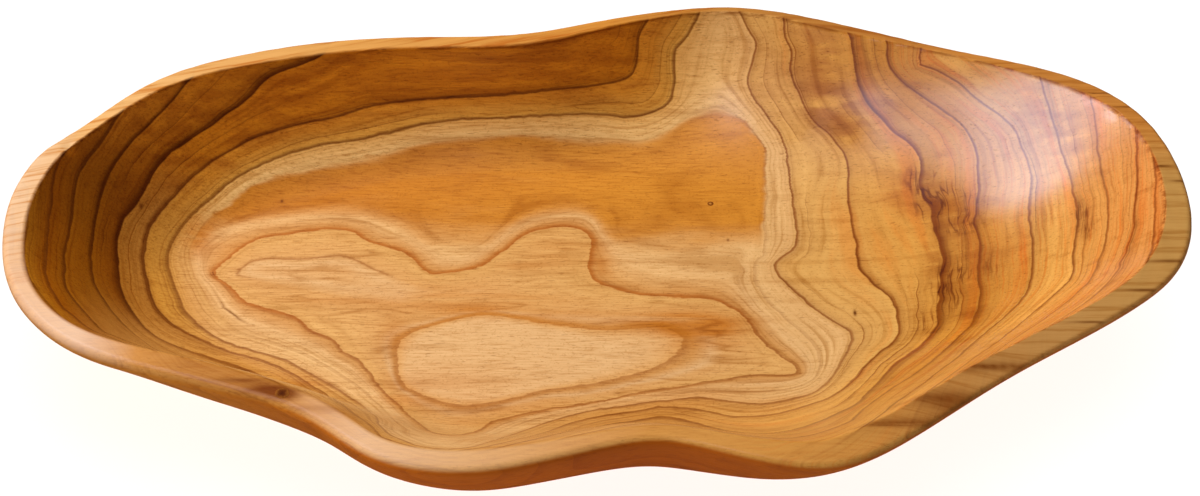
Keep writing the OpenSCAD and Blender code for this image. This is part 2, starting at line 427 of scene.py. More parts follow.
def all_over(rings, by_column, on_floor, on_foot):
    """A value for each point: by ring and column on the wall, and one value on the floor and the foot."""
    fills = [np.full((g.shape[0] - 2) ** 2, v) for g, v in zip(grids, (on_floor, on_foot))]
    return np.concatenate([np.outer(rings, by_column).ravel()] + fills)


def swell(places, size):
    """Smooth noise from about -1 to 1 at each place, with waves of a size in mm."""
    return np.array([noise.noise(Vector(p)) for p in places / size])


def facing():
    """The direction that each point of the bowl faces."""
    return np.array([v.vector for v in bowl_mesh.vertex_normals])


def surface():
    """The bowl's faces, ready for casting rays at."""
    return BVHTree.FromPolygons([v.co for v in bowl_mesh.vertices], [p.vertices for p in bowl_mesh.polygons])


def on_wood(pixel):
    """The place on the bowl, in mm, that the camera sees at a pixel, or None beside it."""
    place = carved.ray_cast(view_eye, pixel_ray(*pixel))[0]
    return None if place is None else np.array(place) / MM


carved = surface()
every_column = np.ones(columns)
raised = SWELL_MM * swell(points, SWELL_SIZE_MM) * all_over(np.ones(len(wall)), every_column, 1, 0)
raised *= np.where(points[:, 2] < FLAT_BELOW_MM, np.maximum(points[:, 2], 0) / FLAT_BELOW_MM, 1)
nicked = all_over(by_ring(*NICKED_RINGS), 1 - roll, 0, 0)
raised += NICK_MM * swell(points, NICK_SIZE_MM) * nicked
for pixel, reach, depth in CHIPS.values():
    away = np.linalg.norm(points - on_wood(pixel), axis=1) / reach
    raised -= depth * np.exp(-away**2)
points = points + facing() * raised[:, None]
points[:, 2] = np.clip(points[:, 2], 0, bowl_size[2])
bowl_mesh.vertices.foreach_set("co", (points * MM).ravel())
bowl_mesh.update()
carved = surface()
print("tool marks from", raised.min().round(2), "to", raised.max().round(2), "mm")

# %% [markdown]
# ## The growth rings
#
# The figure is what the eye sees first. A root lays down one layer of wood a year, and the gouge cuts those
# layers at an angle, so each one shows as a line that wanders round the hollow. A stock wood texture makes
# straight rings about one axis, which would look like a plank. Here each line that stands out is drawn once,
# in pixels of the picture, with its place in the order of growth. The camera's rays carry the lines onto the
# carved surface, and one smooth field is fitted through them all, so that the wood has a growth order
# everywhere, over the rim and on the outside too.

# %% The growth rings
GROWTH_LINES = {
    "island_middle": (-2, [(540, 355), (480, 358)]),
    "island": (-1, [
        (398, 340), (398, 374), (409, 390), (452, 404), (478, 405), (509, 399), (547, 390), (600, 380),
        (657, 367), (686, 342), (677, 332), (657, 327), (600, 330), (547, 323), (513, 317), (482, 313),
        (452, 320), (421, 328), (398, 340)]),
    "lobe": (-0.7, [(228, 276), (257, 260), (303, 258), (345, 256), (380, 273), (430, 288), (500, 291)]),
    "lobe_middle": (-0.8, [(270, 276), (330, 284), (400, 296)]),
    "lobe_gap": (-0.5, [(540, 309), (470, 309), (400, 318), (330, 306)]),
    "heart": (0, [
        (212, 271), (233, 290), (245, 302), (298, 317), (306, 328), (333, 340), (341, 351), (360, 363),
        (386, 393), (425, 428), (452, 435), (478, 430), (497, 420), (555, 409), (638, 395), (715, 382),
        (753, 376), (799, 374), (791, 363), (765, 344), (745, 317), (730, 307), (707, 300), (650, 295),
        (600, 284), (589, 275), (590, 256), (594, 240), (585, 230), (566, 226), (543, 228), (524, 235),
        (497, 256), (478, 267), (452, 273), (429, 274), (417, 263), (402, 252), (375, 245), (344, 230),
        (298, 233), (268, 237), (249, 245), (226, 263), (212, 271)]),
    "honey_front": (0.5, [
        (200, 250), (212, 240), (229, 230), (268, 220), (325, 216), (367, 220), (402, 233), (425, 250),
        (455, 262), (485, 252), (505, 235), (530, 220), (565, 213), (590, 218), (604, 236), (622, 254),
        (660, 264), (710, 270), (742, 272)]),
    "honey_back": (1, [
        (191, 245), (203, 222), (226, 203), (249, 186), (275, 174), (325, 165), (383, 151), (432, 138),
        (486, 134), (536, 132), (600, 137), (640, 138), (670, 128), (688, 115), (715, 107), (742, 119),
        (765, 146), (767, 172), (768, 199), (765, 222), (767, 240), (765, 256)]),
    "honey_middle": (0.75, [
        (225, 222), (280, 198), (350, 188), (430, 185), (520, 175), (600, 178), (670, 175), (715, 160),
        (735, 195)]),
    "honey_high": (0.88, [
        (262, 188), (300, 177), (380, 165), (447, 161), (520, 154), (600, 157), (670, 150), (716, 130)]),
    "honey_low": (0.75, [(625, 232), (665, 238), (710, 240), (745, 236), (756, 222)]),
    "stem": (1.4, [(720, 20), (712, 60), (710, 90)]),
    "pale_edge": (2, [
        (700, 11), (698, 23), (688, 38), (674, 52), (673, 98), (646, 115), (623, 118), (600, 115),
        (478, 120), (429, 124), (383, 134), (298, 151), (245, 174), (203, 207), (184, 226), (170, 248),
        (170, 271), (184, 309), (203, 328), (230, 344), (298, 367), (356, 401), (375, 416), (386, 432),
        (402, 440), (421, 447), (459, 449), (497, 439), (555, 420), (600, 408), (657, 403), (700, 398),
        (734, 401), (765, 403), (799, 397), (818, 390), (837, 370), (849, 351), (851, 336), (837, 325),
        (814, 309), (791, 290), (776, 275), (774, 263), (787, 254), (797, 245), (795, 218), (786, 161),
        (780, 134), (765, 115), (749, 92), (749, 69), (757, 46), (747, 31), (742, 11)]),
    "faint_back": (2.5, [
        (657, 50), (654, 77), (642, 92), (600, 99), (536, 101), (459, 105), (413, 111), (344, 126),
        (268, 147), (230, 168), (184, 209), (165, 230)]),
    "faint_right": (2.5, [(780, 96), (807, 134), (826, 157), (830, 180)]),
    "strong_left": (3, [
        (649, 19), (640, 34), (638, 57), (636, 73), (623, 80), (600, 85), (555, 90), (497, 96),
        (402, 103), (364, 108), (329, 119), (260, 136), (214, 161), (187, 182), (153, 222), (145, 248),
        (145, 271), (151, 294), (161, 311), (176, 326), (230, 349), (268, 363), (302, 378), (348, 409),
        (371, 424), (380, 437)]),
    "strong_right": (3, [
        (784, 23), (783, 34), (791, 54), (789, 73), (799, 94), (814, 119), (845, 153), (849, 172),
        (848, 203), (856, 245), (854, 267), (872, 282), (891, 298), (898, 317), (897, 336), (883, 351),
        (868, 363), (849, 382), (830, 397), (807, 405), (772, 414), (734, 416), (696, 409), (657, 407)]),
    "back_wall": (3.7, [(345, 60), (400, 54), (460, 56), (520, 54), (565, 48), (610, 33)]),
    "dark_left": (4, [
        (318, 57), (268, 78), (249, 98), (214, 122), (180, 147), (159, 165), (143, 195), (122, 222),
        (117, 248), (118, 271), (122, 290), (134, 313), (145, 328), (165, 342), (200, 354), (240, 367),
        (275, 382), (310, 401), (345, 421), (365, 436)]),
    "dark_right": (4, [
        (851, 38), (854, 57), (860, 84), (875, 115), (914, 149), (919, 172), (916, 195), (937, 233),
        (941, 271), (937, 317), (929, 336), (914, 351), (891, 367), (860, 401), (837, 413), (815, 423),
        (785, 431), (750, 433), (715, 428), (680, 419), (655, 416)]),
    "fifth_left": (5, [
        (191, 80), (153, 120), (122, 153), (111, 172), (101, 199), (92, 248), (92, 271), (98, 290),
        (111, 309), (130, 330), (147, 344)]),
    "fifth_right": (5, [
        (888, 46), (889, 61), (902, 80), (925, 98), (952, 115), (971, 138), (979, 165), (975, 214),
        (979, 245), (977, 271), (979, 298), (973, 321), (956, 340), (914, 374), (872, 401), (853, 420)]),
    "sixth_left": (6, [(124, 111), (98, 147), (82, 168), (71, 218), (64, 271), (71, 294), (103, 332)]),
    "sixth_right": (6, [
        (918, 65), (944, 73), (998, 115), (1017, 134), (1030, 172), (1029, 222), (1032, 271), (1027, 294),
        (1009, 313), (964, 351), (914, 390), (891, 405)]),
    "seventh_left": (7, [(68, 147), (57, 168), (50, 214), (46, 271), (54, 294), (65, 311)]),
    "seventh_right": (7, [
        (1039, 77), (1046, 99), (1061, 149), (1074, 199), (1074, 256), (1073, 275), (1059, 290),
        (1009, 332), (952, 374), (925, 393)]),
    "eighth_left": (8, [(30, 190), (27, 230)]),
    "eighth_right": (8, [
        (1092, 103), (1099, 161), (1107, 207), (1109, 226), (1099, 259), (1090, 279), (1071, 298),
        (1040, 321), (1006, 344)]),
    "lip_left": (5.2, [(180, 366), (240, 385), (290, 405), (330, 428)]),
    "lip_left_edge": (6.4, [(180, 378), (240, 396), (300, 424), (350, 450)]),
    "lip_far_left": (8.4, [(30, 290), (60, 325), (100, 345)]),
    "lip_front": (5.5, [
        (400, 455), (450, 463), (520, 460), (590, 444), (650, 431), (710, 442), (770, 455)]),
    "ninth": (9, [(1136, 126), (1138, 161), (1134, 226)]),
    "tenth": (10, [(1151, 145), (1155, 184), (1153, 226)]),
}
LINE_STEP_MM = 3.0
SPLINE_STEPS = 8
FIELD_SLACK_MM = 0.6
FIELD_CHUNK = 1500
TINY = 1e-6


def laid_line(pixels):
    """Points on the wood along a line that was drawn in pixels, about one step apart."""
    places = [on_wood(p) for p in spline(pixels, SPLINE_STEPS, closed=False)]
    kept = []
    for place in places:
        if place is not None and (not kept or np.linalg.norm(place - kept[-1]) > LINE_STEP_MM):
            kept.append(place)
    return kept


centres, levels = [], []
for level, pixels in GROWTH_LINES.values():
    laid = laid_line(pixels)
    centres += laid
    levels += [level] * len(laid)
centres, levels = np.array(centres), np.array(levels, float)


def fit_field(places, values):
    """Weights of a smooth field through the values: a slope, and one cone at each place."""
    n = len(places)
    distances = np.linalg.norm(places[:, None] - places[None], axis=2)
    straight = np.column_stack([np.ones(n), places])
    terms = straight.shape[1]
    left = np.zeros((n + terms, n + terms))
    left[:n, :n] = FIELD_SLACK_MM * np.eye(n) - distances
    left[:n, n:], left[n:, :n] = straight, straight.T
    solved = np.linalg.solve(left, np.append(values, np.zeros(terms)))
    return solved[:n], solved[n:]


def read_field(places):
    """The field and its steepness in space at some places."""
    values = slope[0] + places @ slope[1:]
    rise = np.tile(slope[1:], (len(places), 1))
    for first in range(0, len(places), FIELD_CHUNK):
        part = slice(first, first + FIELD_CHUNK)
        apart = places[part, None] - centres[None]
        distances = np.maximum(np.linalg.norm(apart, axis=2), TINY)
        values[part] -= distances @ weights
        rise[part] -= np.einsum("ijk,ij->ik", apart, weights / distances)
    return values, rise


weights, slope = fit_field(centres, levels)
print("growth field through", len(centres), "points, slope per mm", slope[1:].round(3))

# %% [markdown]
# ## Stains
#
# Wood is stained unevenly, and no ring explains it. A few soft spots are placed: burnt and smoky brown
# beside the strong rings on the right, scorched bands on the sawn rim and beside the knot in the lip,
# amber round the heart, and rosy patches high on the right wall. Two kinds of spots leave the colour alone:
# the dull ones are rubbed free of polish, and one marks a short split along a ring. A painter would dab all
# this on with a soft brush. Here each spot is a pixel, its reach in millimetres along the slab and across
# it, and a strength.
# The smoky spots also darken a band along the back wall, just under the rim's inner edge: painted shade.

# %% Stains
STAINS = {
    "burnt": [
        ((915, 178), (5, 5), 0.5), ((932, 200), (6, 9), 0.8), ((960, 212), (7, 10), 0.75),
        ((952, 285), (7, 13), 0.7), ((930, 325), (5, 8), 0.5), ((992, 265), (4, 9), 0.35),
        ((1084, 220), (3, 10), 0.6), ((215, 274), (2.5, 1.5), 0.6),
    ],
    "scorched": [
        ((995, 366), (20, 1.8), 1.0), ((940, 397), (15, 3), 0.7), ((900, 424), (18, 2.2), 1.0),
        ((952, 412), (9, 5), 0.7), ((266, 389), (7, 2.2), 1.0), ((243, 380), (9, 1.4), 0.8),
        ((282, 394), (5, 2.6), 1.0), ((320, 408), (9, 2), 0.4), ((288, 397), (3, 2), 0.6),
    ],
    "amber": [
        ((680, 322), (20, 5), 1.0), ((692, 332), (10, 7), 0.9), ((728, 335), (8, 7), 0.4),
        ((560, 316), (18, 3), 0.55), ((475, 310), (12, 2), 0.5), ((394, 335), (5, 8), 0.5),
        ((402, 398), (7, 5), 0.4), ((520, 266), (8, 2), 0.4), ((535, 300), (14, 2), 0.45),
        ((330, 300), (20, 2), 0.3), ((602, 262), (3, 8), 0.45), ((450, 302), (26, 7), 0.5),
        ((440, 385), (26, 9), 0.3), ((560, 410), (36, 6), 0.45), ((700, 397), (26, 6), 0.4),
        ((465, 424), (14, 5), 0.35), ((556, 252), (12, 8), 0.4), ((780, 408), (16, 6), 0.4),
        ((230, 250), (6, 6), 0.3), ((198, 238), (5, 8), 0.9), ((1012, 262), (8, 14), 0.4),
        ((900, 196), (6, 8), 0.9), ((300, 382), (8, 4), 0.6), ((342, 412), (8, 5), 0.5),
    ],
    "smoky": [
        ((962, 242), (5, 9), 0.4), ((979, 262), (3, 9), 0.7), ((971, 318), (4, 7), 0.8),
        ((936, 258), (3, 9), 0.8), ((986, 300), (4, 7), 0.4), ((946, 216), (6, 6), 0.4),
        # These three spots darken the band just under the back rim's inner edge: painted shade.
        ((485, 54), (16, 5), 0.8), ((545, 46), (12, 5), 0.6), ((330, 62), (8, 4), 0.5),
    ],
    "split": [((232, 313), (5, 8), 1.0)],
    "rosy": [
        ((768, 70), (8, 18), 0.35), ((820, 60), (9, 18), 0.8), ((845, 120), (8, 12), 0.9),
        ((815, 105), (6, 10), 0.4), ((890, 110), (10, 14), 0.3), ((960, 90), (14, 14), 0.2),
        ((1035, 115), (13, 15), 0.8), ((1075, 140), (10, 14), 0.5),
    ],
    "dull": [
        ((735, 40), (14, 22), 1.0), ((770, 80), (12, 22), 1.0), ((815, 75), (11, 20), 0.8),
        ((785, 125), (9, 10), 0.8), ((845, 90), (8, 14), 0.4), ((950, 205), (10, 12), 0.9),
        ((985, 228), (9, 10), 0.7), ((1010, 315), (20, 10), 1.0), ((1065, 290), (12, 14), 0.9),
        ((955, 335), (16, 10), 0.9), ((905, 105), (10, 9), 0.6), ((948, 124), (9, 11), 0.45),
        ((850, 135), (10, 9), 0.9),
    ],
}
STAINED = 0.3


def stain(spots):
    """How far each point is stained by some spots."""
    total = np.zeros(len(points))
    for pixel, (along_x, along_y), strength in spots:
        away = (points - on_wood(pixel)) / [along_x, along_y, along_y]
        total += strength * np.exp(-(away**2).sum(axis=1))
    return np.minimum(total, 1)


def number(name, values):
    """Stores one number for each point of the bowl's mesh."""
    layer = bowl_mesh.attributes.new(name, "FLOAT", "POINT")
    layer.data.foreach_set("value", np.asarray(values, np.float32))


stained = {name: stain(spots) for name, spots in STAINS.items()}
for name, values in stained.items():
    number(name, values)
    print(name, "covers", round((values > STAINED).mean() * 100, 1), "percent of the points")

# %% [markdown]
# ## Ring numbers on the mesh
#
# Two more numbers go onto each point. One is its place in the order of growth. The other says how many
# millimetres of wood lie between one ring and the next there, so that the material can draw a line as wide on
# the open floor as on the steep wall. A little noise bends the field first, because no ring runs as clean as
# a spline, and it bends it more where the wood is burnt, which gives the curly flame there. This noise starts
# from the clock unless it is given a seed, so a fixed one keeps the figure the same from run to run.

# %% Ring numbers on the mesh
WAVES_SEED = 1
WAVES_MM = ((14, 0.8), (5, 0.4))
WAVES_LONG = (0.5, 1, 1)
FLAME_WAVES = 3.0
SPREAD_LIMITS_MM = (1.0, 40.0)


def wavy(places, more):
    """The places, each moved a little by smooth noise that is drawn out along the grain."""
    moved = places.copy()
    for size, depth in WAVES_MM:
        stretch = np.array(WAVES_LONG) / size
        bends = np.array([noise.noise_vector(Vector(p)) for p in places * stretch])
        moved += depth * bends * (1 + FLAME_WAVES * more[:, None])
    return moved


noise.seed_set(WAVES_SEED)
growth, rise = read_field(wavy(points, stained["burnt"]))
normals = facing()
rise -= normals * (rise * normals).sum(axis=1)[:, None]
spread = np.clip(1 / np.maximum(np.linalg.norm(rise, axis=1), TINY), *SPREAD_LIMITS_MM)
number("growth", growth)
number("spread", spread)
print("growth from", growth.min().round(1), "to", growth.max().round(1))
print("a year is", np.median(spread).round(1), "mm wide at the median")

# %% [markdown]
# The material also has to know where it is: on the sawn top of the rim, on its ragged inner brink, on the
# rolled lip at the front, on the outside, or in the back half of the floor, where the honey-coloured wood
# lies.

# %% Zones of the surface
RIM_ZONE = by_ring(0, (0, 1), 1, (1, 0), 0)
OUTSIDE_ZONE = by_ring(0, (0, 0), 0, (0, 1), 1)
BRINK_ZONE = by_ring(0, (1, 0), 0, (0, 0), 0)
ROLLED_SHARE = 0.9
CRISP_ROLL = 4
HONEY_EDGE = ((680, 270), (680, 198))


def smooth_step(values, low, high):
    """0 below low, 1 above high and a smooth step between them."""
    t = np.clip((values - low) / (high - low), 0, 1)
    return t * t * (3 - 2 * t)


number("rim", all_over(RIM_ZONE, 1 - ROLLED_SHARE * roll, 0, 0))
number("lip", all_over(RIM_ZONE, roll, 0, 0))
number("brink", all_over(BRINK_ZONE, np.clip(1 - CRISP_ROLL * roll, 0, 1), 0, 0))
number("outside", all_over(OUTSIDE_ZONE, every_column, 0, 1))
number("honey", smooth_step(points[:, 1], *(on_wood(pixel)[1] for pixel in HONEY_EDGE)))
print("numbers on each point:", [a.name for a in bowl_mesh.attributes if a.data_type == "FLOAT"])

# %% [markdown]
# ## Shader sums
#
# A material is a small program made of nodes. Wiring dozens of Math nodes by hand hides what it says, so a
# small class stands for one output socket and takes part in Python's own sums: `1 - mask` adds a Math node
# and gives back its output. Any other node comes from one method, which takes the node's type, its settings
# and its inputs.

# %% Shader sums


def sums(operation, flipped=False):
    """A method for one of Python's own sums, which adds a Math node."""
    def method(self, other):
        return self.math(operation, *((other, self) if flipped else (self, other)))
    return method


class Wire:
    """An output socket of a node tree. With no socket it stands for the tree alone."""

    __add__ = __radd__ = sums("ADD")
    __mul__ = __rmul__ = sums("MULTIPLY")
    __sub__, __rsub__ = sums("SUBTRACT"), sums("SUBTRACT", flipped=True)
    __truediv__, __rtruediv__ = sums("DIVIDE"), sums("DIVIDE", flipped=True)

    def __init__(self, tree, socket=None):
        self.tree = tree
        self.socket = socket

    def node(self, kind, settings=None, inputs=None, out=0):
        """A new node of a type, with its settings made first and then its inputs set or linked."""
        made = self.tree.nodes.new(kind)
        for name, value in (settings or {}).items():
            if name == "stops":
                self.set_stops(made.color_ramp, value)
            elif name == "steps":
                made.color_ramp.interpolation = "CONSTANT" if value else "LINEAR"
            else:
                setattr(made, name, value)
        for name, value in (inputs or {}).items():
            if isinstance(value, Wire):
                self.tree.links.new(value.socket, made.inputs[name])
            else:
                made.inputs[name].default_value = value
        return Wire(self.tree, made.outputs[out])

    @staticmethod
    def set_stops(ramp, stops):
        """The stops of a colour ramp, each a place from 0 to 1 and a colour."""
        while len(ramp.elements) < len(stops):
            ramp.elements.new(1)
        for element, (position, colour) in zip(ramp.elements, stops):
            element.position = position
            element.color = colour

    def other(self, out):
        """Another output of the same node."""
        return Wire(self.tree, self.socket.node.outputs[out])

    def into(self, shader, name):
        """Links this to an input of a shader."""
        self.tree.links.new(self.socket, shader.inputs[name])

    def math(self, operation, *values):
        """A Math node on some values."""
        return self.node("ShaderNodeMath", {"operation": operation}, dict(enumerate(values)))

    def floor(self):
        return self.math("FLOOR", self)

    def centred(self):
        """Noise from 0 to 1, moved so that its middle is nought."""
        return self - 0.5

    def hill(self, reach):
        """1 at nought, falling away on both sides like a bell."""
        ratio = self / reach
        return self.math("EXPONENT", ratio * ratio * -1)

    def fading(self, reach):
        """1 at nought, fading away above it."""
        return self.math("EXPONENT", self / reach * -1)

    def between(self, low, high):
        """0 below low, 1 above high and a smooth step between them."""
        settings = {"interpolation_type": "SMOOTHSTEP"}
        return self.node("ShaderNodeMapRange", settings, {"Value": self, "From Min": low, "From Max": high})

    def tinted(self, colour, amount, blend="MIX"):
        """This colour mixed with another by an amount."""
        settings = {"data_type": "RGBA", "blend_type": blend}
        return self.node("ShaderNodeMix", settings, {0: amount, 6: self, 7: colour}, out=2)

    def ramp(self, stops, steps=False):
        """The colour that some stops give at this number. With steps, each stop holds until the next."""
        return self.node("ShaderNodeValToRGB", {"stops": stops, "steps": steps}, {"Fac": self})

    def stretched(self, x, y, z):
        """These coordinates, multiplied along each axis."""
        return self.node("ShaderNodeVectorMath", {"operation": "MULTIPLY"}, {0: self, 1: (x, y, z)})

    def noise(self, scale, detail=2.0, roughness=0.5):
        """Smooth noise over these coordinates, from about 0 to 1."""
        inputs = {"Vector": self, "Scale": scale, "Detail": detail, "Roughness": roughness}
        return self.node("ShaderNodeTexNoise", None, inputs)


def tint(code):
    """A linear colour from the hexadecimal code that a paint program shows."""
    parts = [int(code[k:k + 2], 16) / 255 for k in (0, 2, 4)]
    return tuple(c / 12.92 if c <= 0.04045 else ((c + 0.055) / 1.055) ** 2.4 for c in parts) + (1,)


def tints(stops):
    """Stops with their codes made into colours."""
    return [(at, tint(code)) for at, code in stops]


print("tint of pale wood:", [round(v, 3) for v in tint("E2B67A")])

# %% [markdown]
# ## The wood
#
# The wood is built up the way it grows. A ramp along the order of growth gives the broad bands: pale in the
# heart, then tan, and brown towards the edge. The back wall is the darkest, and the front and the
# right-hand side are the lightest, so there are four ramps, mixed by where the wood is. Two more colours go
# over the bands: the honey-coloured wood of the floor, which fades out in patches towards the front, and
# the stains.

# %% Bands of growth
LEVEL_LOW, LEVEL_HIGH = -6, 12
HEART_BANDS = [
    (-6, "DEAC70"), (-1.2, "E0AE72"), (-0.95, "D89A50"), (-0.8, "E4B478"), (-0.66, "DEA662"),
    (-0.1, "DCA45C"), (0.1, "D89C54"), (0.5, "E4B272"),
]
LEFT_BANDS = [
    (0.85, "D49E5C"), (1.0, "D29A56"), (1.9, "CB8D40"), (2.1, "C88A36"), (2.9, "C6842E"), (3.1, "C07E30"),
    (3.9, "BE7A28"), (4.1, "9A520A"), (5, "AA620C"), (6, "B2680E"), (7, "AC5E08"), (8, "C07816"),
    (12, "CE8A2A"),
]
BACK_BANDS = [
    (1.0, "EEBC74"), (1.9, "EAAE5C"), (2.1, "EAA844"), (2.6, "D08426"), (2.95, "CA7C20"), (3.05, "C47212"),
    (4, "C87412"), (6, "CE7A1A"), (12, "C47820"),
]
PALE_BANDS = [(1.0, "E4B270"), (1.9, "DFAA68")]
FRONT_BANDS = PALE_BANDS + [(2.1, "D89E54"), (4, "D29040"), (6, "D09044"), (8, "CE8E48"), (12, "CE8E48")]
RIGHT_BANDS = PALE_BANDS + [
    (2.1, "DEA65A"), (2.9, "DCA252"), (3.1, "DC9E4A"), (4, "D8963C"), (5, "D08A30"), (5.9, "D69440"),
    (6.1, "E2A24A"), (7, "E6A24C"), (8, "E49A48"), (12, "E08E46"),
]
BACK_Y, FRONT_Y = (0.030, 0.058), (-0.030, -0.002)
FRONT_X, RIGHT_X = (-0.168, -0.140), (0.025, 0.060)
STREAKS = {"share": 0.09, "scale": 230, "detail": 3}
HONEY_TINT, HONEY_STRENGTH = "BE7014", 0.95
HONEY_FRONT, HONEY_BACK, HONEY_BACK_RAGGED_MM = (0.40, 0.70), (0.86, 1.04), 4.0
HONEY_PATCHES, HONEY_RAGGED = {"share": 0.3, "scale": 90, "detail": 3}, 0.9
PALE_HONEY_TINT, PALE_HONEY_X, PALE_HONEY_STREAKS = "D0862A", (-0.10, 0.03), (0.1, 0.45)
# The smoky tint darkens the flame on the right and paints shade under the back rim.
STAIN_TINTS = {
    "amber": ("C4741F", 0.9), "rosy": ("9C5220", 0.75), "burnt": ("A45A0C", 0.85), "smoky": ("9A4E08", 0.8),
}
STAIN_STREAKS = (0.2, 0.55)

wood, wood_shader = principled("bowl_wood")
start = Wire(wood.node_tree)


def attribute(name):
    """A number that is stored on the mesh."""
    return start.node("ShaderNodeAttribute", {"attribute_name": name}, out="Fac")


def drawn_out(share, scale, detail=2.0, roughness=0.5):
    """Noise that is drawn out along the slab, the longer the smaller the share is."""
    return place.stretched(share, 1, 1).noise(scale, detail, roughness)


def level_place(level):
    """Where a level of growth lies between the lowest and the highest, from 0 to 1."""
    return (level - LEVEL_LOW) / (LEVEL_HIGH - LEVEL_LOW)


def level_ramp(level, stops, steps=False):
    """The colour at a place in the order of growth."""
    return level_place(level).ramp([(level_place(at), colour) for at, colour in stops], steps)


def bands(outer_bands):
    """The broad bands of one side of the bowl."""
    return level_ramp(order, tints(HEART_BANDS + outer_bands))


order = attribute("growth")
pitch = attribute("spread")
place = start.node("ShaderNodeTexCoord", out="Object")
place_x = start.node("ShaderNodeSeparateXYZ", None, {"Vector": place}, out="X")
place_y, place_z = place_x.other("Y"), place_x.other("Z")
on_right = place_x.between(*RIGHT_X)
on_front = (1 - place_y.between(*FRONT_Y)) * place_x.between(*FRONT_X)
at_back = place_y.between(*BACK_Y)
figure = bands(LEFT_BANDS).tinted(bands(BACK_BANDS), at_back)
figure = figure.tinted(bands(FRONT_BANDS), on_front).tinted(bands(RIGHT_BANDS), on_right)
streaks = drawn_out(**STREAKS)
ragged = order + streaks.centred() * HONEY_BACK_RAGGED_MM / pitch
patches = drawn_out(**HONEY_PATCHES).centred() * HONEY_RAGGED
honey = order.between(*HONEY_FRONT) * (1 - ragged.between(*HONEY_BACK))
honey = honey * (attribute("honey") + patches).between(0, 1)
pale_honey = honey * place_x.between(*PALE_HONEY_X) * (1 - streaks).between(*PALE_HONEY_STREAKS)
figure = figure.tinted(tint(HONEY_TINT), honey * HONEY_STRENGTH).tinted(tint(PALE_HONEY_TINT), pale_honey)
for name, (code, strength) in STAIN_TINTS.items():
    figure = figure.tinted(tint(code), attribute(name) * streaks.between(*STAIN_STREAKS) * strength)
print("nodes for the bands:", len(wood.node_tree.nodes))

# %% [markdown]
# On top of the bands comes the late wood of each year: a line that starts sharp on its inner side, has a
# dark core and fades outwards. How dark and how wide differs from year to year, so a small table gives each
# line its tint, core, fade and strength. Fine noise frays the lines. Between the strong ones lie many faint
# ones. They repeat the same profile a few times a year, each with its own chance of showing, and are left
# out where a year is spread so wide or so narrow that they could not be told apart. One thin line of its
# own marks the lobe at the left of the heart.

# %% Lines of late wood
CORE_LIMIT_MM, FADE_LIMIT_MM = 4, 12
LATE_WOOD = [
    (-6, "B0783C", 1.0, 3, 0.30, 0.00), (-1, "BE7018", 1.8, 6, 0.50, 0.70), (0, "AC5A10", 1.1, 4, 0.45, 0.85),
    (1, "C08840", 1.0, 3, 0.30, 0.35), (2, "80460F", 0.9, 3, 0.30, 0.85), (3, "6A3006", 1.0, 4, 0.35, 0.90),
    (4, "521E02", 2.4, 7, 0.50, 0.95), (5, "5E2804", 1.1, 5, 0.38, 0.92), (6, "6A3208", 0.9, 4, 0.33, 0.88),
    (7, "74380C", 0.8, 3, 0.30, 0.85), (8, "82420F", 0.7, 3, 0.25, 0.75),
]
EARLY = 0.25
SHARP_MM = 0.6
CORE_PITCH, FADE_PITCH = 0.23, 0.5
FRAY_MM, FRAY_SCALE = 1.0, 280
STREAKY_MM, STREAKY, STREAKY_LEVELS = 1.5, {"share": 0.12, "scale": 700}, (0.6, 1.4)
WIDTH_LEAST, WIDTH_SCALE = 0.5, 70
LEFT_WIDER, FLAME_WIDER, BACK_NARROWER, BACK_CLEANER = 0.7, 1.0, 0.4, 0.6
FRONT_WEAKER, LIP_FAINTER = 0.2, 0.8
WARM_LINE, WARM_SHARE = "863E02", 0.8
FAINT_PER_YEAR, FAINT_CORE_MM, FAINT_FADE_MM, FAINT_FADE = 4, 0.5, 2.0, 0.4
FAINT_TINT, FAINT_STRENGTH, FAINT_EARLY, OFTEN_LEVELS = "8E4A0A", 0.95, 0.12, (1.6, 2.4)
NARROW_MM, WIDE_MM = (3.0, 8.0), (16, 26)
WANDER_SCALE, WANDER_LEVELS = 30, 1.5
CHANCE, SHOWING, SHOWING_SCALES = (0.2, 0.9), (0.3, 0.6), (18, 18, 0.37)
HEART_LEVELS = (-0.6, 0.2)
LOBE_LEVEL, LOBE_CORE_MM, LOBE_STRENGTH = -0.7, 0.6, 0.6
LOBE_X, LOBE_Y = (-0.074, -0.062), (0.010, 0.014)


def least(a, b):
    """The smaller of two numbers."""
    return a.math("MINIMUM", a, b)


def most(a, b):
    """The larger of two numbers."""
    return a.math("MAXIMUM", a, b)


def late_wood(year):
    """Tint, strength, core, fade and share of the fade of the line that starts a year."""
    colours = [(at - EARLY, tint(code)[:3] + (strength,)) for at, code, _, _, _, strength in LATE_WOOD]
    shapes = [(at - EARLY, (core / CORE_LIMIT_MM, fade / FADE_LIMIT_MM, share, 1))
              for at, _, core, fade, share, _ in LATE_WOOD]
    colour = level_ramp(year, colours, steps=True)
    warmer = colour.tinted(tint(WARM_LINE), off_left * WARM_SHARE)
    shape = level_ramp(year, shapes, steps=True)
    core = start.node("ShaderNodeSeparateColor", None, {"Color": shape}, out="Red")
    fade, share = core.other("Green"), core.other("Blue")
    core = least(core * CORE_LIMIT_MM * widths, pitch * CORE_PITCH)
    fade = least(fade * FADE_LIMIT_MM * widths, pitch * FADE_PITCH)
    return warmer, colour.other("Alpha"), core, fade, share


def flow(level, scales, detail=2.0):
    """Noise that follows the rings, with its scales along X, along Y and from ring to ring."""
    scale_x, scale_y, level_scale = scales
    parts = {"X": level * level_scale, "Y": place_x * scale_x, "Z": place_y * scale_y}
    return start.node("ShaderNodeCombineXYZ", None, parts).noise(1.0, detail)


